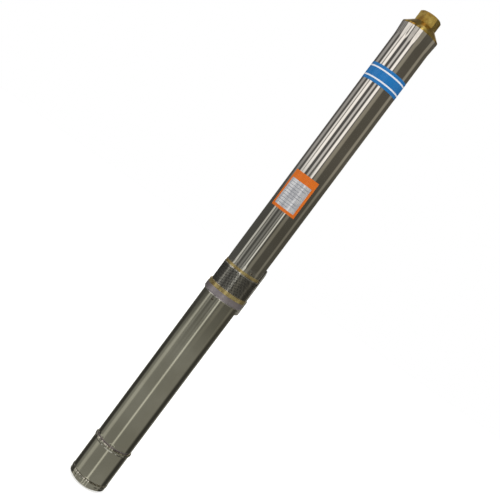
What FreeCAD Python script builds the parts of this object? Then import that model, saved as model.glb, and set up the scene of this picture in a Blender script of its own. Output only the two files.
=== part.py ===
"""Four-inch borehole pump: oil-filled motor below, multistage pump above, one vertical axis.

Frame: millimetres, +Z up, origin at the centre of the end cap's bottom face.
The cable guard stands on the +X side.
"""

import FreeCAD, Part
import math
import os
import Sketcher

STAGE_COUNT = 6
VANE_COUNT = 5
STUD_COUNT = 4
PAD_COUNT = 6
SPLINE_COUNT = 14
HOLE_ROWS = 3
HOLE_COLUMNS = 20
HEX_TURN = -12.5
SPRING_TURNS = 4.25

# Driving dimensions. Radii and heights are in millimetres, angles in degrees.
SIZES = {
    # End cap
    "cap_radius": 47.3,
    "cap_height": 115.2,
    "cap_wall": 2.2,
    "cap_floor": 3.0,
    "foot_radius": 36.0,
    "foot_chamfer": 7.0,
    "foot_groove_height": 23.0,
    "groove_section": 2.9,
    "bead_radius": 48.2,
    "bead_height": 9.0,
    "breather_radius": 4.0,
    "collar_radius": 49.1,
    "collar_height": 9.0,
    "bead_slope": 2.5,
    # Motor tube and its two end pieces
    "joint_gap": 3.3,
    "tube_radius": 46.5,
    "tube_wall": 2.0,
    "tube_length": 418.2,
    "seat_gap": 0.05,
    "rotor_gap": 0.4,
    "running_gap": 0.05,
    "housing_reach": 33.0,
    "housing_floor": 10.0,
    "spigot_radius": 34.0,
    "spigot_wall": 6.0,
    "spigot_height": 13.0,
    "chamber_radius": 32.0,
    "diaphragm_wall": 2.0,
    "diaphragm_depth": 60.0,
    # Motor flange
    "flange_radius": 50.0,
    "flange_height": 15.0,
    "flange_chamfer": 2.0,
    "pilot_radius": 43.65,
    "pilot_height": 3.0,
    "bracket_plate": 8.0,
    "hub_radius": 22.0,
    "hub_height": 40.0,
    "bush_wall": 3.4,
    "stud_radius": 4.0,
    "stud_circle": 38.1,
    "stud_depth": 12.0,
    "nut_flats": 13.0,
    "nut_height": 6.5,
    "socket_width": 18.0,
    # Stator and rotor
    "stator_rise": 96.5,
    "stator_headroom": 81.7,
    "stator_bore": 26.6,
    "coil_inner": 29.0,
    "coil_outer": 41.0,
    "coil_height": 26.0,
    "core_shaft_radius": 13.0,
    "journal_radius": 12.5,
    "thrust_radius": 9.5,
    "seal_shaft_radius": 10.0,
    "spline_radius": 7.9,
    "spline_length": 27.0,
    "spline_depth": 1.2,
    "end_ring_height": 11.0,
    "end_ring_radius": 23.5,
    "thrust_disc_radius": 27.0,
    "thrust_disc_height": 8.0,
    "thrust_gap": 0.1,
    "pad_height": 8.0,
    "pad_angle": 46.0,
    "seal_radius": 18.0,
    "seal_height": 7.0,
    "slinger_radius": 20.0,
    "slinger_height": 8.0,
    # Suction bracket and strainer
    "rim_radius": 49.3,
    "rim_height": 8.9,
    "throat_radius": 24.0,
    "rib_width": 9.0,
    "strainer_radius": 46.0,
    "strainer_wall": 1.0,
    "strainer_height": 51.0,
    "hem_radius": 47.6,
    "hem_height": 4.0,
    "hole_half": 2.2,
    "hole_reach": 4.6,
    "hole_margin": 7.0,
    "ring_radius": 45.5,
    "ring_height": 6.8,
    "inlet_bore": 36.0,
    "inlet_spigot": 33.6,
    # Cable guard
    "guard_width": 24.0,
    "guard_sheet": 1.0,
    "guard_drop": 16.7,
    "guard_lower_radius": 51.2,
    "guard_upper_radius": 48.8,
    "guard_inner": 45.3,
    "guard_overlap": 26.6,
    # Pump sleeve
    "sleeve_radius": 44.5,
    "sleeve_wall": 1.5,
    "flare_radius": 46.7,
    "flare_length": 32.0,
    "head_rim": 3.5,
    # Stages
    "stage_pitch": 90.0,
    "bowl_wall": 1.9,
    "plate_thickness": 3.0,
    "eye_radius": 18.0,
    "impeller_radius": 37.5,
    "shroud_thickness": 2.0,
    "passage_height": 22.0,
    "impeller_clearance": 2.0,
    "vane_thickness": 1.8,
    "vane_inner": 13.0,
    "hub_neck_radius": 9.0,
    "diffuser_radius": 36.5,
    "diffuser_gap": 3.0,
    # Pump shaft and coupling
    "shaft_flats": 11.0,
    "shaft_journal": 8.0,
    "coupling_radius": 12.5,
    "coupling_length": 64.0,
    # Head
    "spider_height": 26.0,
    "spider_wall": 3.2,
    "spoke_width": 5.0,
    "spider_hub": 15.0,
    "head_skirt": 53.2,
    "shoulder_height": 16.3,
    "shoulder_radius": 27.5,
    "hex_flats": 47.0,
    "hex_height": 25.5,
    "skirt_bore": 37.0,
    "seat_height": 34.0,
    "seat_radius": 13.0,
    "valve_chamber": 18.3,
    "guide_seat": 18.9,
    "guide_level": 55.0,
    "thread_radius": 19.48,
    "thread_length": 22.0,
    "valve_radius": 16.0,
    "valve_thickness": 4.0,
    "valve_stem": 4.0,
    "guide_height": 6.0,
    "spring_radius": 7.5,
    "spring_wire": 1.3,
    "circlip_height": 1.6,
    "circlip_depth": 1.2,
}


class Formula:
    """A number together with the sheet formula that gives it."""

    def __init__(self, number, text):
        self.number = float(number)
        self.text = text

    def join(self, other, sign, number):
        right = other.text if isinstance(other, Formula) else repr(float(other))
        return Formula(number, f"({self.text} {sign} {right})")

    def __add__(self, other):
        return self.join(other, "+", self.number + plain(other))

    def __sub__(self, other):
        return self.join(other, "-", self.number - plain(other))

    def __mul__(self, other):
        return self.join(other, "*", self.number * plain(other))

    def __truediv__(self, other):
        return self.join(other, "/", self.number / plain(other))

    def __neg__(self):
        return Formula(-self.number, f"(0 - {self.text})")


def plain(quantity):
    """The number behind a Formula, or the number itself."""
    return quantity.number if isinstance(quantity, Formula) else quantity


class SizeTable:
    """Every driving dimension as an attribute that is bound to its cell."""

    def __init__(self, document, numbers):
        sheet = document.addObject("Spreadsheet::Sheet", "Sizes")
        for row, (alias, number) in enumerate(numbers.items(), start=1):
            sheet.set(f"A{row}", alias)
            sheet.set(f"B{row}", str(number))
            sheet.setAlias(f"B{row}", alias)
            setattr(self, alias, Formula(number, f"Sizes.{alias}"))


doc = FreeCAD.newDocument("BoreholePump")
size = SizeTable(doc, SIZES)
doc.recompute()
nodes = []

# Levels along the axis, each from the piece below it.
tube_bottom = size.cap_height + size.joint_gap
tube_top = tube_bottom + size.tube_length
flange_top = tube_top + size.flange_height
rim_top = flange_top + size.rim_height
strainer_top = rim_top + size.strainer_height
sleeve_bottom = strainer_top + size.ring_height
stack_bottom = sleeve_bottom + size.inlet_spigot
stack_top = stack_bottom + size.stage_pitch * STAGE_COUNT
head_bottom = stack_top + size.spider_height
sleeve_top = head_bottom + size.head_skirt
head_height = size.head_skirt + size.shoulder_height + size.hex_height

# Radii that several pieces share.
cap_bore = size.cap_radius - size.cap_wall
tube_bore = size.tube_radius - size.tube_wall
tube_fit = tube_bore - size.seat_gap
sleeve_bore = size.sleeve_radius - size.sleeve_wall
sleeve_fit = sleeve_bore - size.seat_gap
bush_bore = size.journal_radius + size.running_gap
bush_seat = bush_bore + size.bush_wall
rotor_radius = size.stator_bore - size.rotor_gap
flare_bore = size.flare_radius - size.sleeve_wall
notch_half = size.guard_width / 2 + size.seat_gap * 6
notch_face = size.guard_inner - size.seat_gap * 6
rib_outer = notch_face - size.seat_gap * 10

# Motor levels: the housing closes the tube from below, the bracket from above.
housing_bottom = size.cap_height - size.spigot_height - size.housing_floor - size.foot_chamfer / 2
housing_height = size.spigot_height + size.housing_floor + size.housing_reach
bracket_bottom = housing_bottom + housing_height
thrust_floor = housing_bottom + size.spigot_height + size.housing_floor
thrust_level = thrust_floor + size.pad_height + size.thrust_gap
shaft_bottom = thrust_floor + size.pad_height / 2
hub_bottom = tube_top - size.hub_height
seal_face = flange_top - size.seal_height - size.pilot_height
seal_floor = seal_face - size.seal_height - size.running_gap
seal_runner_radius = size.seal_radius - size.seat_gap * 10
seal_seat_bore = size.seal_shaft_radius + size.seat_gap * 8
slinger_level = flange_top + size.pilot_height + size.seat_gap * 10
spline_bottom = slinger_level + size.slinger_height
stator_bottom = tube_bottom + size.stator_rise
stator_length = size.tube_length - size.stator_rise - size.stator_headroom
guard_low = tube_top - size.guard_drop
rotor_inset = size.seat_gap * 10
rotor_length = stator_length - rotor_inset * 2

# Pump levels.
coupling_bottom = spline_bottom + size.pilot_height
coupling_joint = spline_bottom + size.spline_length + size.seat_gap * 10
pump_shaft_bottom = coupling_joint + size.seat_gap * 10
impeller_top = (
    size.plate_thickness + size.impeller_clearance + size.passage_height + size.shroud_thickness * 2
)
journal_bottom = stack_top + size.plate_thickness * 2
journal_length = size.spider_height - size.plate_thickness
valve_seat = head_bottom + size.seat_height
guide_bottom = head_bottom + size.guide_level
hem_low = size.strainer_height - size.hem_height * 2


def start_body(name, level=None):
    """A new named sub-part, standing at its level on the pump's axis."""
    body = doc.addObject("PartDesign::Body", name)
    body.Label = name
    if level is not None:
        body.setExpression("Placement.Base.z", level.text)
    nodes.append(body)
    return body


def origin_part(body, role):
    """One of the body's own origin planes or axes."""
    return [part for part in body.Origin.OriginFeatures if part.Role == role][0]


def start_sketch(body, name, plane="XZ_Plane", level=None):
    """A sketch on one of the body's own origin planes, raised to a level."""
    sketch = body.newObject("Sketcher::SketchObject", name)
    sketch.AttachmentSupport = [(origin_part(body, plane), "")]
    sketch.MapMode = "FlatFace"
    if level is not None:
        sketch.setExpression("AttachmentOffset.Base.z", level.text)
    return sketch


def hold_point(sketch, geometry, vertex, x, y):
    """Fix a vertex at its two distances from the origin, bound to the sheet."""
    for kind, distance in (("DistanceX", x), ("DistanceY", y)):
        number = plain(distance)
        index = sketch.addConstraint(Sketcher.Constraint(kind, -1, 1, geometry, vertex, number))
        if isinstance(distance, Formula):
            sketch.setExpression(f"Constraints[{index}]", distance.text)


def hold_radius(sketch, geometry, radius):
    """Fix a circle's or an arc's radius, bound to the sheet."""
    index = sketch.addConstraint(Sketcher.Constraint("Radius", geometry, radius.number))
    sketch.setExpression(f"Constraints[{index}]", radius.text)


def draw_polygon(sketch, corners):
    """Closed outline of straight lines."""
    points = [FreeCAD.Vector(plain(x), plain(y), 0) for x, y in corners]
    first = sketch.GeometryCount
    count = len(points)
    for index in range(count):
        sketch.addGeometry(Part.LineSegment(points[index], points[(index + 1) % count]))
    for index in range(count):
        after = (index + 1) % count
        sketch.addConstraint(Sketcher.Constraint("Coincident", first + index, 2, first + after, 1))
    for index, (x, y) in enumerate(corners):
        hold_point(sketch, first + index, 1, x, y)


def draw_circle(sketch, x, y, radius, guide=False):
    """A full circle, or a guide circle that only holds other points."""
    centre = FreeCAD.Vector(plain(x), plain(y), 0)
    round_line = Part.Circle(centre, FreeCAD.Vector(0, 0, 1), radius.number)
    circle = sketch.addGeometry(round_line, guide)
    hold_point(sketch, circle, 3, x, y)
    hold_radius(sketch, circle, radius)
    return circle


def draw_ring(sketch, inner, outer):
    """Two circles about the axis."""
    draw_circle(sketch, 0.0, 0.0, inner)
    draw_circle(sketch, 0.0, 0.0, outer)


def draw_vane(sketch, inner, outer, thickness, side):
    """A curved vane from ring to ring: two arcs about one centre, closed by two end lines.

    side is +1 or -1 and says which way the vane trails.
    """
    arc = outer * 0.64
    centre_x = arc * 0.3
    centre_y = arc * (0.7 * side)
    centre = FreeCAD.Vector(centre_x.number, centre_y.number, 0)
    away = centre.Length
    along = FreeCAD.Vector(centre).normalize()
    across = FreeCAD.Vector(-along.y, along.x, 0) * side
    spans = []
    for radius in (arc, arc + thickness):
        crossings = []
        for ring in (inner, outer):
            base = (ring.number ** 2 - radius.number ** 2 + away ** 2) / (2 * away)
            crossings.append(along * base - across * math.sqrt(ring.number ** 2 - base ** 2))
        if side < 0:
            crossings.reverse()
        turns = [math.atan2(point.y - centre.y, point.x - centre.x) for point in crossings]
        circle = Part.Circle(centre, FreeCAD.Vector(0, 0, 1), radius.number)
        line = sketch.addGeometry(Part.ArcOfCircle(circle, turns[0], turns[1]))
        spans.append((line, radius, crossings))
    rings = [draw_circle(sketch, 0.0, 0.0, ring, guide=True) for ring in (inner, outer)]
    if side < 0:
        rings.reverse()
    for vertex in (1, 2):
        ends = [span[2][vertex - 1] for span in spans]
        closing = sketch.addGeometry(Part.LineSegment(ends[0], ends[1]))
        for place, (line, radius, crossings) in enumerate(spans, start=1):
            sketch.addConstraint(Sketcher.Constraint("Coincident", line, vertex, closing, place))
            sketch.addConstraint(Sketcher.Constraint("PointOnObject", line, vertex, rings[vertex - 1]))
    hold_point(sketch, spans[0][0], 3, centre_x, centre_y)
    sketch.addConstraint(Sketcher.Constraint("Coincident", spans[0][0], 3, spans[1][0], 3))
    for line, radius, crossings in spans:
        hold_radius(sketch, line, radius)


def regular_corners(flats, sides=6, turn=0.0):
    """Corners of a regular polygon across its flats, the first one turned from the X axis."""
    reach = 0.5 / math.cos(math.pi / sides)
    turns = [math.radians(turn) + 2 * math.pi * side / sides for side in range(sides)]
    return [(flats * (reach * math.cos(turn)), flats * (reach * math.sin(turn))) for turn in turns]


def block_corners(x_low, x_high, y_low, y_high):
    """Corners of an upright rectangle."""
    return [(x_low, y_low), (x_high, y_low), (x_high, y_high), (x_low, y_high)]


def body_volume(body):
    """Volume of the body as it now stands."""
    doc.recompute()
    return body.Shape.Volume


def check_cut(body, name, before):
    """A cut that leaves the volume as it was points away from the solid."""
    if body_volume(body) >= before - 1e-6:
        raise RuntimeError(f"{body.Label}: {name} removes nothing")


def add_turned(body, name, outline):
    """Add the outline of (radius, height) corners, turned about the axis."""
    sketch = start_sketch(body, name + "Outline")
    draw_polygon(sketch, outline)
    turned = body.newObject("PartDesign::Revolution", name)
    turned.Profile = sketch
    turned.ReferenceAxis = (sketch, ["V_Axis"])
    turned.Angle = 360.0
    return turned


def cut_turned(body, name, outline):
    """Remove the outline of (radius, height) corners, turned about the axis."""
    before = body_volume(body)
    sketch = start_sketch(body, name + "Outline")
    draw_polygon(sketch, outline)
    groove = body.newObject("PartDesign::Groove", name)
    groove.Profile = sketch
    groove.ReferenceAxis = (sketch, ["V_Axis"])
    groove.Angle = 360.0
    check_cut(body, name, before)
    return groove


def add_pad(body, name, draw, base, height):
    """Extrude upwards from the base level what draw puts in the sketch."""
    sketch = start_sketch(body, name + "Outline", "XY_Plane", base)
    draw(sketch)
    pad = body.newObject("PartDesign::Pad", name)
    pad.Profile = sketch
    pad.setExpression("Length", height.text)
    return pad


def cut_pocket(body, name, draw, base, height):
    """Remove upwards from the base level what draw puts in the sketch."""
    before = body_volume(body)
    sketch = start_sketch(body, name + "Outline", "XY_Plane", base)
    draw(sketch)
    pocket = body.newObject("PartDesign::Pocket", name)
    pocket.Profile = sketch
    pocket.Reversed = True
    pocket.setExpression("Length", height.text)
    check_cut(body, name, before)
    return pocket


def add_crosswise(body, name, outline, half):
    """Add an outline of (X, Z) corners as a slab across the X axis."""
    sketch = start_sketch(body, name + "Outline", "XZ_Plane", -half)
    draw_polygon(sketch, outline)
    slab = body.newObject("PartDesign::Pad", name)
    slab.Profile = sketch
    slab.setExpression("Length", (half * 2).text)
    return slab


def cut_crosswise(body, name, outline, half):
    """Remove an outline of (X, Z) corners as a slab across the X axis."""
    before = body_volume(body)
    sketch = start_sketch(body, name + "Outline", "XZ_Plane", -half)
    draw_polygon(sketch, outline)
    slot = body.newObject("PartDesign::Pocket", name)
    slot.Profile = sketch
    slot.Reversed = True
    slot.setExpression("Length", (half * 2).text)
    check_cut(body, name, before)
    return slot


def cut_radial(body, name, draw, near, depth, turn=0.0):
    """Remove sideways through one wall what draw puts in an upright sketch.

    The sketch stands upright at the near distance from the axis. The hole points from there
    to -Y, turned by an angle about the axis.
    """
    before = body_volume(body)
    sketch = start_sketch(body, name + "Outline")
    sketch.AttachmentOffset = FreeCAD.Placement(
        FreeCAD.Vector(0, 0, 0), FreeCAD.Rotation(FreeCAD.Vector(0, 1, 0), turn)
    )
    sketch.setExpression("AttachmentOffset.Base.x", (near * math.sin(math.radians(turn))).text)
    sketch.setExpression("AttachmentOffset.Base.z", (near * math.cos(math.radians(turn))).text)
    draw(sketch)
    pocket = body.newObject("PartDesign::Pocket", name)
    pocket.Profile = sketch
    pocket.Reversed = True
    pocket.setExpression("Length", depth.text)
    check_cut(body, name, before)
    return pocket


def repeat_around(body, feature, count):
    """Repeat a feature evenly about the axis."""
    pattern = body.newObject("PartDesign::PolarPattern", feature.Name + "Pattern")
    pattern.Originals = [feature]
    pattern.Axis = (origin_part(body, "Z_Axis"), [""])
    pattern.Angle = 360.0
    pattern.Occurrences = count
    body.Tip = pattern
    return pattern


def group(name, members, level=None):
    """Separate solids kept together as one named sub-part."""
    compound = doc.addObject("Part::Compound", name)
    compound.Label = name
    compound.Links = members
    if level is not None:
        compound.setExpression("Placement.Base.z", level.text)
    nodes.append(compound)
    return compound


def make_end_cap():
    """Deep cup over the motor's lower end, with a breather hole and two rolled grooves."""
    body = start_body("end_cap")
    collar_foot = size.cap_height - size.collar_height
    slope = size.bead_slope
    bead_top = size.foot_groove_height - size.groove_section * 0.4
    add_turned(body, "Shell", [
        (size.breather_radius, 0.0),
        (size.foot_radius, 0.0),
        (size.cap_radius, size.foot_chamfer),
        (size.cap_radius, bead_top - size.bead_height),
        (size.bead_radius, bead_top - size.bead_height + slope),
        (size.bead_radius, bead_top - slope),
        (size.cap_radius, bead_top),
        (size.cap_radius, collar_foot),
        (size.collar_radius, collar_foot + slope),
        (size.collar_radius, size.cap_height - slope),
        (size.cap_radius, size.cap_height),
        (cap_bore, size.cap_height),
        (cap_bore, size.foot_chamfer + size.cap_wall),
        (size.foot_radius, size.cap_floor),
        (size.breather_radius, size.cap_floor),
    ])
    half = size.groove_section / 2
    cut_turned(body, "FootGroove", [
        (size.cap_radius - half, size.foot_groove_height),
        (size.cap_radius + half, size.foot_groove_height - half * 1.5),
        (size.cap_radius + half, size.foot_groove_height + half * 1.5),
    ])
    return body


def make_thrust_housing():
    """Cast plug between end cap and motor tube; its cup holds the thrust bearing."""
    body = start_body("thrust_housing", housing_bottom)
    floor_top = size.spigot_height + size.housing_floor
    cap_end = size.cap_height - housing_bottom
    add_turned(body, "Casting", [
        (size.breather_radius, size.spigot_height),
        (size.spigot_radius - size.spigot_wall, size.spigot_height),
        (size.spigot_radius - size.spigot_wall, 0.0),
        (size.spigot_radius, 0.0),
        (size.spigot_radius, size.spigot_height),
        (cap_bore - size.seat_gap, size.spigot_height),
        (cap_bore - size.seat_gap, cap_end),
        (tube_fit, cap_end),
        (tube_fit, housing_height),
        (size.chamber_radius, housing_height),
        (size.chamber_radius, floor_top),
        (size.breather_radius, floor_top),
    ])
    return body


def make_diaphragm():
    """Rubber cup, stretched over the housing's spigot, that evens out the oil pressure."""
    body = start_body("pressure_diaphragm", housing_bottom - size.diaphragm_depth)
    mouth = size.spigot_radius + size.seat_gap
    outside = mouth + size.diaphragm_wall
    rim = size.diaphragm_depth + size.spigot_height - size.diaphragm_wall
    fold = size.diaphragm_depth * 0.5
    waist = mouth * 0.75
    add_turned(body, "Cup", [
        (0.0, 0.0),
        (waist + size.diaphragm_wall, 0.0),
        (waist + size.diaphragm_wall, fold),
        (outside, fold + size.diaphragm_wall * 3),
        (outside, rim),
        (mouth, rim),
        (mouth, fold + size.diaphragm_wall * 4),
        (waist, fold + size.diaphragm_wall),
        (waist, size.diaphragm_wall),
        (0.0, size.diaphragm_wall),
    ])
    return body


def make_thrust_pads():
    """Tilting segments on the housing's floor, separate solids about the axis."""
    body = start_body("thrust_pads", thrust_floor)
    body.AllowCompound = True
    inner = size.thrust_disc_radius * 0.45
    outer = size.thrust_disc_radius - size.seat_gap * 10
    half = math.radians(SIZES["pad_angle"] / 2)

    def draw_pad(sketch):
        """A sector cut square at its two sides."""
        reach = outer * math.cos(half)
        spread = outer * math.sin(half)
        draw_polygon(sketch, [
            (inner * math.cos(half), -(inner * math.sin(half))),
            (reach, -spread),
            (outer, -(spread * 0.5)),
            (outer, spread * 0.5),
            (reach, spread),
            (inner * math.cos(half), inner * math.sin(half)),
        ])

    pad = add_pad(body, "Pad", draw_pad, None, size.pad_height)
    repeat_around(body, pad, PAD_COUNT)
    return body


def make_thrust_disc():
    """Hard disc on the shaft's lower end that runs on the pads."""
    body = start_body("thrust_disc", thrust_level)
    bore = size.thrust_radius + size.seat_gap / 2
    add_pad(
        body, "Disc",
        lambda sketch: draw_ring(sketch, bore, size.thrust_disc_radius),
        None, size.thrust_disc_height,
    )
    return body


def make_lower_bracket():
    """Lower bearing bracket: plate, centring skirt and hub."""
    body = start_body("lower_bearing_bracket", bracket_bottom)
    skirt = size.bracket_plate * 2
    skirt_wall = size.bracket_plate / 2
    add_turned(body, "Casting", [
        (bush_seat + size.seat_gap, 0.0),
        (tube_fit, 0.0),
        (tube_fit, skirt),
        (tube_fit - skirt_wall, skirt),
        (tube_fit - skirt_wall, size.bracket_plate),
        (size.hub_radius, size.bracket_plate),
        (size.hub_radius, size.hub_height),
        (bush_seat + size.seat_gap, size.hub_height),
    ])
    return body


def make_bush(name, level, height):
    """Carbon journal bush."""
    body = start_body(name, level)
    add_pad(body, "Ring", lambda sketch: draw_ring(sketch, bush_bore, bush_seat), None, height)
    return body


def make_motor_tube():
    """Stainless tube of the motor."""
    body = start_body("motor_tube", tube_bottom)
    add_pad(
        body, "Tube",
        lambda sketch: draw_ring(sketch, tube_bore, size.tube_radius),
        None, size.tube_length,
    )
    return body


def make_stator_core():
    """Stack of laminations in the motor tube."""
    body = start_body("stator_core", stator_bottom)
    add_pad(
        body, "Stack",
        lambda sketch: draw_ring(sketch, size.stator_bore, tube_fit),
        None, stator_length,
    )
    return body


def make_stator_windings():
    """Copper end turns below and above the laminations."""
    body = start_body("stator_windings", stator_bottom - size.coil_height)
    body.AllowCompound = True
    upper_level = size.coil_height + stator_length
    add_pad(
        body, "LowerTurns",
        lambda sketch: draw_ring(sketch, size.coil_inner, size.coil_outer),
        None, size.coil_height,
    )
    upper = add_pad(
        body, "UpperTurns",
        lambda sketch: draw_ring(sketch, size.coil_inner, size.coil_outer),
        upper_level, size.coil_height,
    )
    body.Tip = upper
    return body


def make_rotor_core():
    """Laminated rotor with the cage's stepped end rings, on the motor shaft."""
    body = start_body("rotor_core", stator_bottom + rotor_inset - size.end_ring_height)
    bore = size.core_shaft_radius + size.seat_gap / 2
    core_high = size.end_ring_height + rotor_length
    add_turned(body, "Stack", [
        (bore, 0.0),
        (size.end_ring_radius, 0.0),
        (size.end_ring_radius, size.end_ring_height),
        (rotor_radius, size.end_ring_height),
        (rotor_radius, core_high),
        (size.end_ring_radius, core_high),
        (size.end_ring_radius, core_high + size.end_ring_height),
        (bore, core_high + size.end_ring_height),
    ])
    return body


def make_motor_shaft():
    """Turned motor shaft with a toothed upper end for the coupling."""
    body = start_body("motor_shaft", shaft_bottom)
    core_low = stator_bottom + rotor_inset - size.end_ring_height - shaft_bottom
    core_high = core_low + rotor_length + size.end_ring_height * 2
    thrust_end = thrust_level + size.thrust_disc_height - shaft_bottom
    seal_low = seal_floor - shaft_bottom
    spline_low = spline_bottom - shaft_bottom
    spline_high = spline_low + size.spline_length
    add_turned(body, "Turning", [
        (0.0, 0.0),
        (size.thrust_radius, 0.0),
        (size.thrust_radius, thrust_end),
        (size.journal_radius, thrust_end),
        (size.journal_radius, core_low),
        (size.core_shaft_radius, core_low),
        (size.core_shaft_radius, core_high),
        (size.journal_radius, core_high),
        (size.journal_radius, seal_low),
        (size.seal_shaft_radius, seal_low),
        (size.seal_shaft_radius, spline_low),
        (size.spline_radius, spline_low),
        (size.spline_radius, spline_high),
        (0.0, spline_high),
    ])
    half = size.spline_radius * (math.pi / SPLINE_COUNT / 2)
    tooth_gap = cut_pocket(
        body, "ToothGap",
        lambda sketch: draw_polygon(sketch, block_corners(
            size.spline_radius - size.spline_depth, size.spline_radius * 1.1, -half, half,
        )),
        spline_low + size.spline_depth, size.spline_length,
    )
    repeat_around(body, tooth_gap, SPLINE_COUNT)
    return body


def draw_notch(sketch):
    """Plan of the cut that lets the guard pass the flange and the bracket's rim."""
    draw_polygon(sketch, block_corners(
        notch_face, size.flange_radius * 1.1, -notch_half, notch_half,
    ))


def make_upper_bracket():
    """Motor top: bearing hub, seal chamber, mounting flange and pilot."""
    body = start_body("motor_top_bracket", hub_bottom)
    flange_low = tube_top - hub_bottom
    flange_high = flange_top - hub_bottom
    web = flange_low - size.bracket_plate * 2
    seal_low = seal_floor - hub_bottom
    pilot_high = flange_high + size.pilot_height
    add_turned(body, "Casting", [
        (bush_seat + size.seat_gap, 0.0),
        (size.hub_radius, 0.0),
        (size.hub_radius, web),
        (tube_fit, web),
        (tube_fit, flange_low),
        (size.flange_radius - size.flange_chamfer, flange_low),
        (size.flange_radius, flange_low + size.flange_chamfer),
        (size.flange_radius, flange_high),
        (size.pilot_radius, flange_high),
        (size.pilot_radius, pilot_high),
        (size.seal_radius + size.seat_gap, pilot_high),
        (size.seal_radius + size.seat_gap, seal_low),
        (bush_seat + size.seat_gap, seal_low),
    ])
    cut_pocket(body, "GuardNotch", draw_notch, flange_low, size.flange_height + size.pilot_height)
    angle = math.radians(45.0)
    stud_x = size.stud_circle * math.cos(angle)
    stud_y = size.stud_circle * math.sin(angle)
    stud_hole = cut_pocket(
        body, "StudHole",
        lambda sketch: draw_circle(sketch, stud_x, stud_y, size.stud_radius + size.seat_gap),
        pilot_high - size.stud_depth, size.stud_depth + size.seat_gap,
    )
    repeat_around(body, stud_hole, STUD_COUNT)
    return body


def make_seal(name, level, height, bore, radius):
    """One ring of the shaft seal."""
    body = start_body(name, level)
    add_pad(body, "Ring", lambda sketch: draw_ring(sketch, bore, radius), None, height)
    return body


def make_sand_slinger():
    """Rubber skirt on the shaft that throws sand off the seal."""
    body = start_body("sand_slinger", slinger_level)
    bore = size.seal_shaft_radius + size.seat_gap / 2
    lip = size.slinger_height / 4
    add_turned(body, "Skirt", [
        (bore, 0.0),
        (size.slinger_radius - lip, lip),
        (size.slinger_radius, 0.0),
        (size.slinger_radius, lip),
        (bore + lip * 2, size.slinger_height),
        (bore, size.slinger_height),
    ])
    return body


def make_studs():
    """Threaded studs that hold the pump on the motor, each with its nut run down."""
    pilot_face = flange_top + size.pilot_height
    nut_level = rim_top - pilot_face + size.stud_depth
    reach = nut_level + size.nut_height + size.stud_radius
    studs = []
    for index in range(STUD_COUNT):
        angle = math.radians(45.0 + 360.0 * index / STUD_COUNT)
        rod = doc.addObject("Part::Cylinder", f"rod_{index + 1}")
        rod.setExpression("Radius", size.stud_radius.text)
        rod.setExpression("Height", reach.text)
        nut = doc.addObject("Part::Prism", f"nut_{index + 1}")
        nut.Polygon = 6
        nut.setExpression("Circumradius", (size.nut_flats / math.sqrt(3.0)).text)
        nut.setExpression("Height", size.nut_height.text)
        nut.setExpression("Placement.Base.z", nut_level.text)
        stud = doc.addObject("Part::Fuse", f"stud_{index + 1}")
        stud.Base = rod
        stud.Tool = nut
        flat_outwards = math.degrees(angle) + 30.0
        stud.Placement.Rotation = FreeCAD.Rotation(FreeCAD.Vector(0, 0, 1), flat_outwards)
        stud.setExpression("Placement.Base.x", (size.stud_circle * math.cos(angle)).text)
        stud.setExpression("Placement.Base.y", (size.stud_circle * math.sin(angle)).text)
        studs.append(stud)
    return group("motor_studs", studs, pilot_face - size.stud_depth)


def make_lead_socket():
    """Flat socket for the motor lead, in the flange's notch behind the guard."""
    body = start_body("lead_socket", tube_top)
    near = notch_face + size.seat_gap
    far = size.guard_lower_radius - size.guard_sheet - size.seat_gap * 4
    half = size.socket_width / 2
    add_pad(
        body, "Block",
        lambda sketch: draw_polygon(sketch, block_corners(near, far, -half, half)),
        None, size.flange_height,
    )
    wall = (far - near) / 4
    cut_pocket(
        body, "Mouth",
        lambda sketch: draw_polygon(sketch, block_corners(
            near + wall, far - wall, wall - half, half - wall,
        )),
        size.flange_height / 2, size.flange_height,
    )
    return body


def make_inlet_bracket():
    """Brass suction bracket: flange, ribs and the spigot that carries the sleeve."""
    body = start_body("inlet_bracket", flange_top)
    register = size.pilot_radius + size.seat_gap
    register_height = size.pilot_height + size.seat_gap
    window_top = size.rim_height + size.strainer_height
    spigot_low = window_top + size.ring_height
    spigot_high = spigot_low + size.inlet_spigot
    half = size.rib_width / 2
    body.AllowCompound = True
    add_turned(body, "Flange", [
        (size.throat_radius, register_height),
        (register, register_height),
        (register, 0.0),
        (size.rim_radius, 0.0),
        (size.rim_radius, size.rim_height),
        (size.throat_radius, size.rim_height),
    ])
    add_turned(body, "Spigot", [
        (size.inlet_bore - half, window_top),
        (size.ring_radius, window_top),
        (size.ring_radius, spigot_low),
        (sleeve_fit, spigot_low),
        (sleeve_fit, spigot_high),
        (size.inlet_bore, spigot_high),
        (size.inlet_bore, window_top + half),
    ])
    rib = add_pad(
        body, "Rib",
        lambda sketch: draw_polygon(sketch, block_corners(
            size.inlet_bore - half / 2, rib_outer, -half, half,
        )),
        size.rim_height - size.seat_gap, size.strainer_height + size.seat_gap * 2,
    )
    repeat_around(body, rib, STUD_COUNT)
    cut_pocket(body, "GuardNotch", draw_notch, None, size.rim_height + size.seat_gap)
    angle = math.radians(45.0)
    stud_x = size.stud_circle * math.cos(angle)
    stud_y = size.stud_circle * math.sin(angle)
    hole = cut_pocket(
        body, "StudHole",
        lambda sketch: draw_circle(sketch, stud_x, stud_y, size.stud_radius + size.seat_gap * 4),
        None, size.rim_height + size.seat_gap,
    )
    repeat_around(body, hole, STUD_COUNT)
    return body


def draw_holes(sketch, rows, first_level, pitch):
    """A column of small upright holes, one above the other."""
    for row in range(rows):
        level = first_level + pitch * row
        draw_polygon(sketch, block_corners(
            -size.hole_half, size.hole_half, level - size.hole_reach, level + size.hole_reach,
        ))


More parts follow.
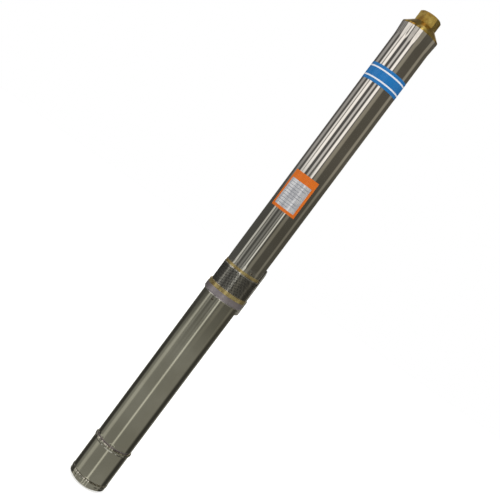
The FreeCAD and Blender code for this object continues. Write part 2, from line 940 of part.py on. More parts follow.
def make_strainer():
    """Perforated screen with staggered diamond holes and a raised upper hem."""
    body = start_body("strainer", rim_top)
    inner = size.strainer_radius - size.strainer_wall
    add_turned(body, "Screen", [
        (inner, 0.0),
        (size.strainer_radius, 0.0),
        (size.strainer_radius, hem_low),
        (size.hem_radius, hem_low + size.strainer_wall),
        (size.hem_radius, hem_low + size.hem_height),
        (size.strainer_radius, size.strainer_height),
        (inner, size.strainer_height),
    ])
    field = hem_low - size.hole_margin * 2
    pitch = field / (HOLE_ROWS - 1)
    stagger = pitch / 2
    column = cut_radial(
        body, "HoleColumn",
        lambda sketch: draw_holes(sketch, HOLE_ROWS, size.hole_margin, pitch),
        inner * 0.96, size.strainer_wall * 5,
    )
    repeat_around(body, column, HOLE_COLUMNS)
    between = cut_radial(
        body, "BetweenColumn",
        lambda sketch: draw_holes(sketch, HOLE_ROWS - 1, size.hole_margin + stagger, pitch),
        inner * 0.96, size.strainer_wall * 5, 180.0 / HOLE_COLUMNS,
    )
    repeat_around(body, between, HOLE_COLUMNS)
    return body


def make_cable_guard():
    """Sheet channel that covers the motor lead from the motor's top to the sleeve.

    Its two ends slope towards the tubes, and it steps in above the bracket's rim.
    """
    body = start_body("cable_guard", guard_low)
    half = size.guard_width / 2
    step = rim_top - guard_low
    total = sleeve_bottom + size.guard_overlap - guard_low
    drop = size.guard_lower_radius - size.guard_upper_radius
    end_slope = size.guard_sheet * 4

    def side_profile(inset):
        """The guard's outline from the side, taken in by an inset on the outer face."""
        lower = size.guard_lower_radius - inset
        upper = size.guard_upper_radius - inset
        foot = size.guard_inner + size.guard_sheet - inset
        return [
            (size.guard_inner - inset, 0.0),
            (foot, 0.0),
            (lower, end_slope),
            (lower, step),
            (upper, step + drop),
            (upper, total - end_slope * 3),
            (foot, total),
            (size.guard_inner - inset, total),
        ]

    add_crosswise(body, "Cover", side_profile(0.0), half)
    cut_crosswise(body, "Channel", side_profile(size.guard_sheet), half - size.guard_sheet)
    cut_pocket(
        body, "TubeClearance",
        lambda sketch: draw_circle(sketch, 0.0, 0.0, size.tube_radius + size.seat_gap * 2),
        None, tube_top - guard_low,
    )
    cut_pocket(
        body, "HemClearance",
        lambda sketch: draw_circle(sketch, 0.0, 0.0, size.hem_radius + size.seat_gap * 2),
        rim_top + hem_low - guard_low - size.guard_sheet, size.hem_height * 2 + size.guard_sheet * 2,
    )
    return body


def make_pump_sleeve():
    """Long polished sleeve round the stages, flared at the top over the head."""
    body = start_body("pump_sleeve", sleeve_bottom)
    length = sleeve_top - size.head_rim - sleeve_bottom
    flare = sleeve_top - size.flare_length - sleeve_bottom
    add_turned(body, "Tube", [
        (sleeve_bore, 0.0),
        (size.sleeve_radius, 0.0),
        (size.sleeve_radius, flare),
        (size.flare_radius, length),
        (flare_bore, length),
        (sleeve_bore, flare),
    ])
    return body


def make_stage_bowl(index):
    """One stage's casing with its inlet plate, return vanes and diffuser hub."""
    body = start_body(f"stage_bowl_{index + 1:02d}", stack_bottom + size.stage_pitch * index)
    inside = sleeve_fit - size.bowl_wall
    disc_low = impeller_top + size.diffuser_gap
    disc_high = disc_low + size.shroud_thickness
    vane_high = size.stage_pitch - size.seat_gap * 4
    hub_bore = size.hub_neck_radius + size.seat_gap * 6
    hub_outer = hub_bore + size.bush_wall
    add_turned(body, "Casing", [
        (size.eye_radius, 0.0),
        (sleeve_fit, 0.0),
        (sleeve_fit, size.stage_pitch),
        (inside, size.stage_pitch),
        (inside, size.plate_thickness),
        (size.eye_radius, size.plate_thickness),
    ])
    vane = add_pad(
        body, "ReturnVane",
        lambda sketch: draw_vane(
            sketch, hub_outer - size.seat_gap * 4, inside + size.bowl_wall / 2,
            size.vane_thickness, -1,
        ),
        disc_low + size.seat_gap, vane_high - disc_low,
    )
    repeat_around(body, vane, VANE_COUNT)
    disc = add_turned(body, "DiffuserDisc", [
        (hub_bore, disc_low),
        (size.diffuser_radius, disc_low),
        (size.diffuser_radius, disc_high),
        (hub_outer, disc_high),
        (hub_outer, vane_high),
        (hub_bore, vane_high),
    ])
    body.Tip = disc
    return body


def make_impeller(index):
    """Closed impeller: eye, two shrouds, curved vanes and a hub on the hexagonal shaft."""
    body = start_body(f"impeller_{index + 1:02d}", stack_bottom + size.stage_pitch * index)
    hub_low = size.plate_thickness
    hub_high = hub_low + size.stage_pitch - size.seat_gap
    front = size.plate_thickness + size.impeller_clearance
    passage = front + size.shroud_thickness
    back = passage + size.passage_height
    add_turned(body, "HubAndBackShroud", [
        (0.0, hub_low),
        (size.hub_neck_radius, hub_low),
        (size.hub_neck_radius, back),
        (size.impeller_radius, back),
        (size.impeller_radius, impeller_top),
        (size.hub_neck_radius, impeller_top),
        (size.hub_neck_radius, hub_high),
        (0.0, hub_high),
    ])
    vane = add_pad(
        body, "Vane",
        lambda sketch: draw_vane(
            sketch, size.vane_inner, size.impeller_radius - size.seat_gap * 2,
            size.vane_thickness, 1,
        ),
        passage - size.seat_gap, size.passage_height + size.seat_gap * 2,
    )
    repeat_around(body, vane, VANE_COUNT)
    shroud = add_pad(
        body, "FrontShroud",
        lambda sketch: draw_ring(sketch, size.eye_radius, size.impeller_radius),
        front, size.shroud_thickness,
    )
    body.Tip = shroud
    cut_pocket(
        body, "ShaftBore",
        lambda sketch: draw_polygon(sketch, regular_corners(size.shaft_flats + size.seat_gap)),
        hub_low - size.seat_gap, size.stage_pitch + size.seat_gap,
    )
    return body


def make_pump_shaft():
    """Hexagonal shaft with a round journal at its upper end."""
    body = start_body("pump_shaft", pump_shaft_bottom)
    hexagon = journal_bottom - pump_shaft_bottom
    add_pad(
        body, "Hexagon",
        lambda sketch: draw_polygon(sketch, regular_corners(size.shaft_flats)),
        None, hexagon,
    )
    add_pad(
        body, "Journal",
        lambda sketch: draw_circle(sketch, 0.0, 0.0, size.shaft_journal),
        hexagon - size.seat_gap, journal_length,
    )
    return body


def make_coupling():
    """Sleeve that joins the motor shaft's teeth to the hexagonal pump shaft."""
    body = start_body("shaft_coupling", coupling_bottom)
    lower = coupling_joint - coupling_bottom
    upper = size.coupling_length - lower
    edge = size.spline_depth
    add_turned(body, "Sleeve", [
        (size.spline_radius + size.seat_gap, 0.0),
        (size.coupling_radius - edge, 0.0),
        (size.coupling_radius, edge),
        (size.coupling_radius, size.coupling_length - edge),
        (size.coupling_radius - edge, size.coupling_length),
        (0.0, size.coupling_length),
        (0.0, lower),
        (size.spline_radius + size.seat_gap, lower),
    ])
    cut_pocket(
        body, "HexBore",
        lambda sketch: draw_polygon(sketch, regular_corners(size.shaft_flats + size.seat_gap)),
        lower - size.seat_gap, upper + size.seat_gap * 2,
    )
    return body


def make_top_spider():
    """Upper bearing carrier: rim, three spokes and a hub."""
    body = start_body("top_bearing_spider", stack_top)
    bore = size.shaft_journal + size.running_gap + size.bush_wall + size.seat_gap
    hub_low = journal_bottom - stack_top
    hub_height = size.spider_height - hub_low
    rim_inner = sleeve_fit - size.spider_wall
    add_pad(
        body, "Rim",
        lambda sketch: draw_ring(sketch, rim_inner, sleeve_fit),
        None, size.spider_height,
    )
    half = size.spoke_width / 2
    spoke = add_pad(
        body, "Spoke",
        lambda sketch: draw_polygon(sketch, block_corners(
            size.spider_hub - half, rim_inner + half / 2, -half, half,
        )),
        hub_low, hub_height,
    )
    repeat_around(body, spoke, 3)
    hub = add_pad(
        body, "Hub",
        lambda sketch: draw_ring(sketch, bore, size.spider_hub),
        hub_low, hub_height,
    )
    body.Tip = hub
    return body


def make_top_bush():
    """Rubber bush for the shaft's upper journal."""
    body = start_body("top_bearing_bush", journal_bottom)
    bore = size.shaft_journal + size.running_gap
    add_pad(
        body, "Ring",
        lambda sketch: draw_ring(sketch, bore, bore + size.bush_wall),
        None, head_bottom - journal_bottom,
    )
    return body


def make_discharge_head():
    """Brass head: skirt inside the sleeve, cone, hexagon, check valve seat and outlet thread."""
    body = start_body("discharge_head", head_bottom)
    flare_low = size.head_skirt - size.flare_length
    rim_low = size.head_skirt - size.head_rim
    flare_fit = flare_bore - size.seat_gap
    shoulder = size.head_skirt + size.shoulder_height
    outlet = head_height - size.thread_length
    throat = size.seat_height - size.plate_thickness * 2
    add_turned(body, "Casting", [
        (size.skirt_bore, 0.0),
        (sleeve_fit, 0.0),
        (sleeve_fit, flare_low),
        (flare_fit, rim_low),
        (size.flare_radius, rim_low),
        (size.flare_radius, size.head_skirt),
        (size.shoulder_radius, shoulder),
        (size.valve_chamber, shoulder),
        (size.valve_chamber, size.seat_height),
        (size.seat_radius, size.seat_height),
        (size.seat_radius, throat),
        (size.skirt_bore, size.plate_thickness * 2),
    ])
    add_pad(
        body, "Hexagon",
        lambda sketch: draw_polygon(sketch, regular_corners(size.hex_flats, turn=HEX_TURN)),
        shoulder - size.seat_gap, size.hex_height + size.seat_gap,
    )
    corner = size.hex_flats * 0.6
    cut_turned(body, "CornerChamfer", [
        (size.hex_flats / 2 - size.seat_gap, head_height),
        (corner, head_height - (corner - size.hex_flats / 2) * 0.58),
        (corner, head_height),
    ])
    cut_pocket(
        body, "ValveChamber",
        lambda sketch: draw_circle(sketch, 0.0, 0.0, size.valve_chamber),
        shoulder - size.seat_gap, size.hex_height + size.seat_gap * 2,
    )
    cut_pocket(
        body, "GuideSeat",
        lambda sketch: draw_circle(sketch, 0.0, 0.0, size.guide_seat),
        size.guide_level, head_height - size.guide_level + size.seat_gap,
    )
    circlip_low = size.guide_level + size.guide_height
    circlip_high = circlip_low + size.circlip_height + size.seat_gap * 2
    cut_turned(body, "CirclipGroove", [
        (size.guide_seat - size.seat_gap, circlip_low),
        (size.guide_seat + size.circlip_depth, circlip_low),
        (size.guide_seat + size.circlip_depth, circlip_high),
        (size.guide_seat - size.seat_gap, circlip_high),
    ])
    cut_pocket(
        body, "OutletThread",
        lambda sketch: draw_circle(sketch, 0.0, 0.0, size.thread_radius),
        outlet, size.thread_length + size.seat_gap,
    )
    return body


def make_check_valve_disc():
    """Valve disc with a plug below and a guide stem above."""
    body = start_body("check_valve_disc", valve_seat)
    plug = size.seat_radius - size.seat_gap * 8
    stem = size.guide_level + size.guide_height - size.seat_height + size.spring_wire
    add_turned(body, "Disc", [
        (0.0, -size.valve_thickness),
        (plug - size.valve_thickness / 2, -size.valve_thickness),
        (plug, -(size.valve_thickness / 4)),
        (plug, 0.0),
        (size.valve_radius, 0.0),
        (size.valve_radius, size.valve_thickness / 2),
        (size.valve_radius - size.valve_thickness / 2, size.valve_thickness),
        (size.valve_stem, size.valve_thickness),
        (size.valve_stem, stem),
        (0.0, stem),
    ])
    return body


def make_check_valve_guide():
    """Guide ring with three spokes and the stem's bore."""
    body = start_body("check_valve_guide", guide_bottom)
    outer = size.guide_seat - size.seat_gap
    wall = size.valve_thickness / 2
    add_pad(
        body, "Rim", lambda sketch: draw_ring(sketch, outer - wall, outer), None, size.guide_height,
    )
    bore = size.valve_stem + size.running_gap
    hub = size.spring_radius + size.spring_wire
    half = wall / 2
    spoke = add_pad(
        body, "Spoke",
        lambda sketch: draw_polygon(sketch, block_corners(
            hub - half, outer - half, -half, half,
        )),
        None, size.guide_height,
    )
    repeat_around(body, spoke, 3)
    ring = add_pad(
        body, "Hub", lambda sketch: draw_ring(sketch, bore, hub), None, size.guide_height,
    )
    body.Tip = ring
    return body


def make_check_valve_spring():
    """Coil spring between the valve disc and the guide."""
    body = start_body("check_valve_spring", valve_seat + size.valve_thickness)
    room = guide_bottom - valve_seat - size.valve_thickness
    half = size.spring_wire / 2
    sketch = start_sketch(body, "WireSection")
    draw_polygon(sketch, block_corners(
        size.spring_radius - half, size.spring_radius + half,
        size.seat_gap, size.seat_gap + size.spring_wire,
    ))
    coil = body.newObject("PartDesign::AdditiveHelix", "Coil")
    coil.Profile = sketch
    coil.ReferenceAxis = (sketch, ["V_Axis"])
    coil.Mode = "height-turns-growth"
    coil.setExpression("Height", (room - size.spring_wire - size.seat_gap * 2).text)
    coil.Turns = SPRING_TURNS
    return body


def make_circlip():
    """Open retaining ring above the valve guide."""
    body = start_body("retaining_ring", guide_bottom + size.guide_height + size.seat_gap)
    outer = size.guide_seat + size.circlip_depth - size.seat_gap
    inner = size.guide_seat - size.circlip_depth
    add_pad(body, "Ring", lambda sketch: draw_ring(sketch, inner, outer), None, size.circlip_height)
    half = size.circlip_height * 2
    cut_pocket(
        body, "Opening",
        lambda sketch: draw_polygon(sketch, block_corners(0.0, outer * 1.1, -half, half)),
        None, size.circlip_height + size.seat_gap,
    )
    return body


make_end_cap()
make_thrust_housing()
make_diaphragm()
make_thrust_pads()
make_thrust_disc()
make_lower_bracket()
make_bush("lower_bearing_bush", bracket_bottom, size.hub_height)
make_motor_tube()
make_stator_core()
make_stator_windings()
make_rotor_core()
make_motor_shaft()
make_upper_bracket()
make_bush("upper_bearing_bush", hub_bottom, seal_floor - hub_bottom)
make_seal(
    "seal_ring", seal_floor, size.seal_height, size.seal_shaft_radius + size.seat_gap / 2,
    seal_runner_radius,
)
make_seal(
    "seal_seat", seal_face, size.seal_height + size.pilot_height, seal_seat_bore, size.seal_radius,
)
make_sand_slinger()
make_studs()
make_lead_socket()
make_inlet_bracket()
make_strainer()
make_cable_guard()
make_pump_sleeve()
make_coupling()
make_pump_shaft()
for stage in range(STAGE_COUNT):
    make_stage_bowl(stage)
    make_impeller(stage)
make_top_spider()
make_top_bush()
make_discharge_head()
make_check_valve_disc()
make_check_valve_guide()
make_check_valve_spring()
make_circlip()

doc.recompute()
for item in doc.Objects:
    if "Invalid" in item.State or "Error" in item.State:
        raise RuntimeError(f"{item.Name} failed: {item.State}")
for node in nodes:
    if node.Shape.isNull() or not node.Shape.isValid():
        raise RuntimeError(f"{node.Label} has no valid shape")

os.makedirs("parts", exist_ok=True)
for node in nodes:
    node.Shape.exportStep(f"parts/{node.Label}.step")
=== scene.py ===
import bmesh
import bpy
import math
from mathutils import Matrix, Vector


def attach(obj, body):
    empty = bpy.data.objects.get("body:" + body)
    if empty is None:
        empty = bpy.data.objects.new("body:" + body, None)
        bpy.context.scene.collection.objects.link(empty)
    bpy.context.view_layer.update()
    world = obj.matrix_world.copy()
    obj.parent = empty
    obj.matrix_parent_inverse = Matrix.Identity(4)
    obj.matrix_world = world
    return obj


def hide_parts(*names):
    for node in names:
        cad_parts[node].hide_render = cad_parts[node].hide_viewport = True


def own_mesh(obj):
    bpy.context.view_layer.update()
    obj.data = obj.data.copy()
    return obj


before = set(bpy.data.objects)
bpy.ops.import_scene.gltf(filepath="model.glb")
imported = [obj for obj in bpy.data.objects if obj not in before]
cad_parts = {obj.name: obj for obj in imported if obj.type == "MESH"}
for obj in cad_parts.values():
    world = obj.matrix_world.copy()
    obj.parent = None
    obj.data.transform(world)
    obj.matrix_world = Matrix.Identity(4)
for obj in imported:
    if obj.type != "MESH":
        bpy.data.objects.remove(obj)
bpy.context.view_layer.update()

# The camera stands a little under two metres from the pump, slightly above its middle, and looks
# down by five degrees. It is rolled, because the pump leans to the right in the picture.
pump_lean = math.radians(36.7)
look_down = math.radians(5.0)
from_degrees = -105.0
from_pump = math.radians(from_degrees)
camera_distance = 1.918
camera_height = 0.829
axis_shift = 0.0136
toward_camera = Vector((math.cos(from_pump), math.sin(from_pump), 0.0))
level_right = Vector((-math.sin(from_pump), math.cos(from_pump), 0.0))
forward = -toward_camera * math.cos(look_down) - Vector((0.0, 0.0, math.sin(look_down)))
level_up = level_right.cross(forward)
camera_right = level_right * math.cos(pump_lean) + level_up * math.sin(pump_lean)
camera_up = level_up * math.cos(pump_lean) - level_right * math.sin(pump_lean)
camera_data = bpy.data.cameras.new("photo_camera")
camera_data.lens = 61.2
camera_data.sensor_width = 36.0
camera_data.clip_start = 0.05
camera = bpy.data.objects.new("photo_camera", camera_data)
bpy.context.collection.objects.link(camera)
camera_place = toward_camera * camera_distance - level_right * axis_shift
camera_place.z += camera_height
camera_turn = Matrix((camera_right, camera_up, -forward)).transposed()
camera.matrix_world = Matrix.Translation(camera_place) @ camera_turn.to_4x4()
bpy.context.scene.camera = camera
bpy.context.scene.view_settings.view_transform = "Standard"


# The room: white behind the pump and even light on it. Polished metal sees a workshop with soft
# upright strip lights: clear ones high up, weaker ones at eye level, a dull wash near the ground
# and the white table right below. Each strip is its angle in degrees from the camera, to the
# right, half its width and its brightness. Its core is flat and its edges are soft. It stands in
# plain light, with a lit wall at the back. Light from the right is a little warmer.
upper_plain, upper_back = 0.10, 0.75
upper_strips = [
    (-116, 16, 0.4), (-80, 8, 1.0), (-60, 11, 1.2), (-28, 8, 0.7), (-2, 10, 1.2), (20, 14, 0.3),
    (98, 14, 0.3),
]
middle_plain, middle_back = 0.08, 0.50
middle_strips = [
    (-72, 8, 0.6), (-55, 7, 0.3), (-30, 8, 0.2), (-13, 6, 0.3), (0, 5, 0.8), (24, 12, 0.2),
    (95, 12, 0.2),
]
lower_plain, lower_back = 0.28, 0.45
lower_strips = [(-130, 30, 0.05), (-75, 15, 0.5), (0, 6, 0.8), (120, 30, 0.05)]
wall_edge = 160
strip_core = 0.5
warm_from = 8
world = bpy.data.worlds.new("room")
bpy.context.scene.world = world
world.use_nodes = True
room = world.node_tree
room.nodes.clear()
direction = room.nodes.new("ShaderNodeTexCoord")
turned = room.nodes.new("ShaderNodeMapping")
turned.inputs["Rotation"].default_value = (0.0, 0.0, -from_pump)
parts = room.nodes.new("ShaderNodeSeparateXYZ")
around = room.nodes.new("ShaderNodeMath")
around.operation = "ARCTAN2"
share = room.nodes.new("ShaderNodeMapRange")
share.inputs["From Min"].default_value = -math.pi
share.inputs["From Max"].default_value = math.pi
room.links.new(direction.outputs["Generated"], turned.inputs["Vector"])
room.links.new(turned.outputs["Vector"], parts.inputs["Vector"])
room.links.new(parts.outputs["Y"], around.inputs[0])
room.links.new(parts.outputs["X"], around.inputs[1])
room.links.new(around.outputs[0], share.inputs["Value"])
white_table = room.nodes.new("ShaderNodeRGB")
white_table.outputs[0].default_value = (0.95, 0.95, 0.95, 1.0)
seen_so_far = white_table.outputs[0]
for plain, back, lights, left_tint, right_tint, begins, full in (
    (lower_plain, lower_back, lower_strips, (1.0, 0.98, 0.86), (1.0, 0.97, 0.83), -0.975, -0.93),
    (middle_plain, middle_back, middle_strips, (1.0, 0.98, 0.88), (1.0, 0.93, 0.73), -0.25, -0.12),
    (upper_plain, upper_back, upper_strips, (1.0, 0.95, 0.90), (1.0, 0.91, 0.72), -0.02, 0.06),
):
    levels = [(-180, back), (-wall_edge, plain)]
    for angle, half_width, brightness in lights:
        core = half_width * strip_core
        levels += [(angle - half_width, plain), (angle - core, brightness)]
        levels += [(angle + core, brightness), (angle + half_width, plain)]
    levels += [(wall_edge, plain), (180, back)]
    strips = room.nodes.new("ShaderNodeValToRGB")
    ramp = strips.color_ramp
    while len(ramp.elements) > 1:
        ramp.elements.remove(ramp.elements[-1])
    for index, (angle, level) in enumerate(levels):
        place = (angle + 180.0) / 360.0
        stop = ramp.elements[0] if index == 0 else ramp.elements.new(place)
        stop.position = place
        tint = right_tint if angle > warm_from else left_tint
        stop.color = (*(level * channel for channel in tint), 1.0)
    room.links.new(share.outputs["Result"], strips.inputs["Fac"])
    height = room.nodes.new("ShaderNodeMapRange")
    height.interpolation_type = "SMOOTHSTEP"
    height.inputs["From Min"].default_value = begins
    height.inputs["From Max"].default_value = full
    room.links.new(parts.outputs["Z"], height.inputs["Value"])
    layer = room.nodes.new("ShaderNodeMix")
    layer.data_type = "RGBA"
    amount, before, after = (socket for socket in layer.inputs if socket.enabled)
    room.links.new(height.outputs["Result"], amount)
    room.links.new(seen_so_far, before)
    room.links.new(strips.outputs["Color"], after)
    seen_so_far = next(socket for socket in layer.outputs if socket.enabled)
strip_light = room.nodes.new("ShaderNodeBackground")
even_light = room.nodes.new("ShaderNodeBackground")
even_light.inputs["Color"].default_value = (1.0, 0.995, 0.98, 1.0)
even_light.inputs["Strength"].default_value = 0.72
white_room = room.nodes.new("ShaderNodeBackground")
white_room.inputs["Color"].default_value = (1.0, 1.0, 1.0, 1.0)
kind_of_ray = room.nodes.new("ShaderNodeLightPath")
glossy_mix = room.nodes.new("ShaderNodeMixShader")
camera_mix = room.nodes.new("ShaderNodeMixShader")
room_out = room.nodes.new("ShaderNodeOutputWorld")
room.links.new(seen_so_far, strip_light.inputs["Color"])
room.links.new(kind_of_ray.outputs["Is Glossy Ray"], glossy_mix.inputs["Fac"])
room.links.new(even_light.outputs[0], glossy_mix.inputs[1])
room.links.new(strip_light.outputs[0], glossy_mix.inputs[2])
room.links.new(kind_of_ray.outputs["Is Camera Ray"], camera_mix.inputs["Fac"])
room.links.new(glossy_mix.outputs[0], camera_mix.inputs[1])
room.links.new(white_room.outputs[0], camera_mix.inputs[2])
room.links.new(camera_mix.outputs[0], room_out.inputs["Surface"])


# The floor: a plain pale sheet under the foot. It keeps the pump's soft shadow and lets polished
# metal see the room beyond it.
floor_reach = 6.0
floor_mesh = bpy.data.meshes.new("floor")
sheet = bmesh.new()
bmesh.ops.create_grid(sheet, x_segments=1, y_segments=1, size=floor_reach)
sheet.to_mesh(floor_mesh)
sheet.free()
floor = bpy.data.objects.new("floor", floor_mesh)
bpy.context.collection.objects.link(floor)
paper = bpy.data.materials.new("pale_paper")
paper.use_nodes = True
paper_nodes = paper.node_tree
paper_nodes.nodes.clear()
matt = paper_nodes.nodes.new("ShaderNodeBsdfDiffuse")
matt.inputs["Color"].default_value = (0.93, 0.93, 0.93, 1.0)
glow = paper_nodes.nodes.new("ShaderNodeEmission")
glow.inputs["Color"].default_value = (1.0, 1.0, 1.0, 1.0)
glow.inputs["Strength"].default_value = 0.55
clear = paper_nodes.nodes.new("ShaderNodeBsdfTransparent")
seen = paper_nodes.nodes.new("ShaderNodeLightPath")
glow_share = paper_nodes.nodes.new("ShaderNodeMixShader")
lit = paper_nodes.nodes.new("ShaderNodeAddShader")
mirrored = paper_nodes.nodes.new("ShaderNodeMixShader")
paper_out = paper_nodes.nodes.new("ShaderNodeOutputMaterial")
paper_nodes.links.new(seen.outputs["Is Camera Ray"], glow_share.inputs["Fac"])
paper_nodes.links.new(glow.outputs[0], glow_share.inputs[2])
paper_nodes.links.new(matt.outputs[0], lit.inputs[0])
paper_nodes.links.new(glow_share.outputs[0], lit.inputs[1])
paper_nodes.links.new(seen.outputs["Is Glossy Ray"], mirrored.inputs["Fac"])
paper_nodes.links.new(lit.outputs[0], mirrored.inputs[1])
paper_nodes.links.new(clear.outputs[0], mirrored.inputs[2])
paper_nodes.links.new(mirrored.outputs[0], paper_out.inputs["Surface"])
floor_mesh.materials.append(paper)


# Two large soft lamps light the painted and rubber surfaces. They don't show in the metal.
lamp_aim = Vector((0.0, 0.0, 0.65))
for lamp_name, lamp_place, lamp_power in (
    ("window_lamp", (-1.6, -2.2, 2.2), 26.0),
    ("side_lamp", (1.9, -1.3, 1.6), 9.0),
):
    lamp_data = bpy.data.lights.new(lamp_name, "AREA")
    lamp_data.size = 1.6
    lamp_data.energy = lamp_power
    lamp = bpy.data.objects.new(lamp_name, lamp_data)
    lamp.location = lamp_place
    lamp.rotation_euler = (lamp_aim - lamp.location).to_track_quat("-Z", "Y").to_euler()
    lamp.visible_glossy = False
    bpy.context.collection.objects.link(lamp)


# Metal of the turned and drawn pieces: one base colour, worn darker in soft patches, with fine
# drawn lines that run along the pump, and a roughness that follows the lines. In its dull zones,
# given as heights, the sheet was crimped or hammered, so it is rougher and slightly dented.
def metal(name, colour, dark_colour, roughness, spread, grain=(260.0, 260.0, 3.0), grain_depth=0.04,
          patch_scale=9.0, metal_share=1.0, dull_zones=()):
    material = bpy.data.materials.new(name)
    material.use_nodes = True
    tree = material.node_tree
    shader = tree.nodes["Principled BSDF"]
    shader.inputs["Metallic"].default_value = metal_share
    place = tree.nodes.new("ShaderNodeTexCoord")
    patches = tree.nodes.new("ShaderNodeTexNoise")
    patches.inputs["Scale"].default_value = patch_scale
    patches.inputs["Detail"].default_value = 5.0
    tone = tree.nodes.new("ShaderNodeValToRGB")
    tone.color_ramp.elements[0].position = 0.35
    tone.color_ramp.elements[0].color = (*dark_colour, 1.0)
    tone.color_ramp.elements[1].position = 0.65
    tone.color_ramp.elements[1].color = (*colour, 1.0)
    stretch = tree.nodes.new("ShaderNodeMapping")
    stretch.inputs["Scale"].default_value = grain
    lines = tree.nodes.new("ShaderNodeTexNoise")
    lines.inputs["Scale"].default_value = 1.0
    lines.inputs["Detail"].default_value = 3.0
    rough = tree.nodes.new("ShaderNodeMapRange")
    rough.inputs["To Min"].default_value = roughness - spread
    rough.inputs["To Max"].default_value = roughness + spread
    relief = tree.nodes.new("ShaderNodeBump")
    relief.inputs["Strength"].default_value = grain_depth
    relief.inputs["Distance"].default_value = 0.0004
    tree.links.new(place.outputs["Object"], patches.inputs["Vector"])
    tree.links.new(place.outputs["Object"], stretch.inputs["Vector"])
    tree.links.new(stretch.outputs["Vector"], lines.inputs["Vector"])
    tree.links.new(patches.outputs["Fac"], tone.inputs["Fac"])
    tree.links.new(tone.outputs["Color"], shader.inputs["Base Color"])
    tree.links.new(lines.outputs["Fac"], rough.inputs["Value"])
    tree.links.new(lines.outputs["Fac"], relief.inputs["Height"])
    normal, roughness_now = relief.outputs["Normal"], rough.outputs["Result"]
    heights = tree.nodes.new("ShaderNodeSeparateXYZ")
    tree.links.new(place.outputs["Object"], heights.inputs["Vector"])
    for low, high, fade, extra_roughness, dent_depth, crimps in dull_zones:
        middle = (low + high) / 2
        away = tree.nodes.new("ShaderNodeMath")
        away.operation = "SUBTRACT"
        away.inputs[1].default_value = middle
        distance = tree.nodes.new("ShaderNodeMath")
        distance.operation = "ABSOLUTE"
        inside = tree.nodes.new("ShaderNodeMapRange")
        inside.interpolation_type = "SMOOTHSTEP"
        inside.inputs["From Min"].default_value = high - middle
        inside.inputs["From Max"].default_value = high - middle + fade
        inside.inputs["To Min"].default_value = 1.0
        inside.inputs["To Max"].default_value = 0.0
        rougher = tree.nodes.new("ShaderNodeMath")
        rougher.operation = "MULTIPLY_ADD"
        rougher.inputs[1].default_value = extra_roughness
        dents = tree.nodes.new("ShaderNodeTexNoise")
        dents.inputs["Scale"].default_value = 75.0
        dents.inputs["Detail"].default_value = 1.0
        azimuth = tree.nodes.new("ShaderNodeMath")
        azimuth.operation = "ARCTAN2"
        turns = tree.nodes.new("ShaderNodeMath")
        turns.operation = "MULTIPLY"
        turns.inputs[1].default_value = crimps
        waves = tree.nodes.new("ShaderNodeMath")
        waves.operation = "SINE"
        depth = tree.nodes.new("ShaderNodeMath")
        depth.operation = "MULTIPLY_ADD"
        depth.inputs[1].default_value = 0.5
        dented = tree.nodes.new("ShaderNodeBump")
        dented.inputs["Distance"].default_value = dent_depth
        tree.links.new(heights.outputs["Z"], away.inputs[0])
        tree.links.new(away.outputs[0], distance.inputs[0])
        tree.links.new(distance.outputs[0], inside.inputs["Value"])
        tree.links.new(inside.outputs["Result"], rougher.inputs[0])
        tree.links.new(roughness_now, rougher.inputs[2])
        tree.links.new(place.outputs["Object"], dents.inputs["Vector"])
        tree.links.new(heights.outputs["Y"], azimuth.inputs[0])
        tree.links.new(heights.outputs["X"], azimuth.inputs[1])
        tree.links.new(azimuth.outputs[0], turns.inputs[0])
        tree.links.new(turns.outputs[0], waves.inputs[0])
        tree.links.new(waves.outputs[0], depth.inputs[0])
        tree.links.new(dents.outputs["Fac"], depth.inputs[2])
        tree.links.new(depth.outputs[0], dented.inputs["Height"])
        tree.links.new(inside.outputs["Result"], dented.inputs["Strength"])
        tree.links.new(normal, dented.inputs["Normal"])
        normal, roughness_now = dented.outputs["Normal"], rougher.outputs[0]
    tree.links.new(roughness_now, shader.inputs["Roughness"])
    tree.links.new(normal, shader.inputs["Normal"])
    return material


def dress(material, *names):
    for name in names:
        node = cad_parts[name]
        node.data.materials.clear()
        node.data.materials.append(material)


# Motor tube and end cap: thin stainless sheet with a satin, slightly olive surface.
motor_steel = metal("satin_motor_steel", (0.62, 0.61, 0.54), (0.51, 0.50, 0.43), 0.12, 0.03,
                    grain_depth=0.01, dull_zones=((0.110, 0.120, 0.005, 0.04, 0.0013, 18),
                                                  (0.0, 0.022, 0.006, 0.04, 0.0009, 18)))
dress(motor_steel, "end_cap", "motor_tube")

# Cable guard: the same sheet, brushed matt, with its worn grey showing on the flat face.
guard_steel = metal("brushed_guard_steel", (0.60, 0.59, 0.54), (0.48, 0.47, 0.42), 0.34, 0.07,
                    (500.0, 500.0, 8.0), 0.06, 40.0, metal_share=0.8)
dress(guard_steel, "cable_guard")

# Pump sleeve: polished stainless tube, so sharp strips of the room run along it.
sleeve_steel = metal("polished_sleeve_steel", (0.80, 0.79, 0.76), (0.70, 0.68, 0.64), 0.06, 0.02,
                     grain_depth=0.01, dull_zones=((0.610, 0.622, 0.020, 0.07, 0.0006, 0),
                                                   (1.248, 1.275, 0.020, 0.06, 0.00025, 28)))
dress(sleeve_steel, "pump_sleeve")

# Motor top bracket and housing: cast iron with a thin lilac-grey coat on the machined flange.
coated_iron = metal("coated_iron", (0.45, 0.41, 0.44), (0.36, 0.31, 0.31), 0.32, 0.06,
                    (90.0, 90.0, 90.0), 0.2, 40.0, metal_share=0.8)
dress(coated_iron, "motor_top_bracket", "thrust_housing", "lower_bearing_bracket")

